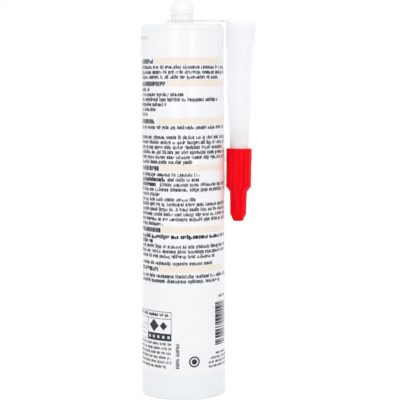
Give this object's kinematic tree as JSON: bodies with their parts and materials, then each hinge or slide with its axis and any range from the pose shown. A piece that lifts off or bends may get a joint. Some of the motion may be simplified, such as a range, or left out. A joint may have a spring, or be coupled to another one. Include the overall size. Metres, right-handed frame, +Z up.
{
  "type": "caulk tube",
  "caption": "Upright sealant cartridge with a domed nipple, a plunger in its open rear end, and a capped nozzle hanging upside down beside it from a strap and ring.",
  "frame": {"origin": "centre of the open rear mouth, in the plane of the rear rim, on the barrel's axis", "axes": "+Z up along the barrel to the nipple, +X to the hanging nozzle; the pictured side faces -Y"},
  "size_m": [0.0694, 0.0502, 0.2334],
  "materials": {
    "barrel_plastic": "smooth white polyethylene with a soft sheen",
    "piston_plastic": "plain natural polyethylene",
    "sealant_paste": "smooth off-white paste",
    "nozzle_plastic": "milky translucent polyethylene",
    "cap_plastic": "glossy red plastic"
  },
  "bodies": {
    "cartridge": {"cartridge": "barrel_plastic", "sealant": "sealant_paste"},
    "piston": {"piston": "piston_plastic"},
    "nozzle": {"nozzle": "nozzle_plastic", "hanger": "nozzle_plastic"},
    "cap": {"cap": "cap_plastic"}
  },
  "joints": [
    {"name": "piston_slide", "type": "slide", "parent": "cartridge", "child": "piston", "axis": [0, 0, 1], "range_m": [0, 0.175], "deforming": ["sealant"]},
    {"name": "nozzle_swivel", "type": "hinge", "parent": "cartridge", "child": "nozzle", "pos_m": [0, 0, 0.21975], "axis": [0, 0, 1], "continuous": true},
    {"name": "cap_slide", "type": "slide", "parent": "nozzle", "child": "cap", "axis": [0, 0, -1], "range_m": [0, 0.042]}
  ]
}
